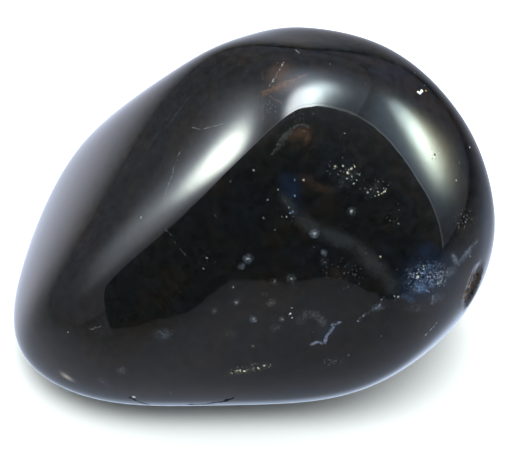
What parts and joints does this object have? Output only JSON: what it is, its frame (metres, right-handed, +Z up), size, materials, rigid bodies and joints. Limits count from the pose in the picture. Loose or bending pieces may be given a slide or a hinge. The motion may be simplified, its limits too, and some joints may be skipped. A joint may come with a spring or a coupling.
{
  "type": "tumbled black onyx stone",
  "caption": "Tumbled, polished black onyx: a soft-edged wedge of glossy black stone with faint pale specks, lying on a flat worn facet.",
  "frame": {"origin": "under the middle of the stone's box, on the flat facet it rests on", "axes": "+X along the longest side, towards the blunt end, +Z up; the broad black front facet looks along -Y and up"},
  "size_m": [0.0344, 0.025, 0.021],
  "materials": {
    "polished_black_onyx": "polished, glossy"
  },
  "bodies": {
    "root": {"onyx_stone": "polished_black_onyx"}
  },
  "joints": []
}
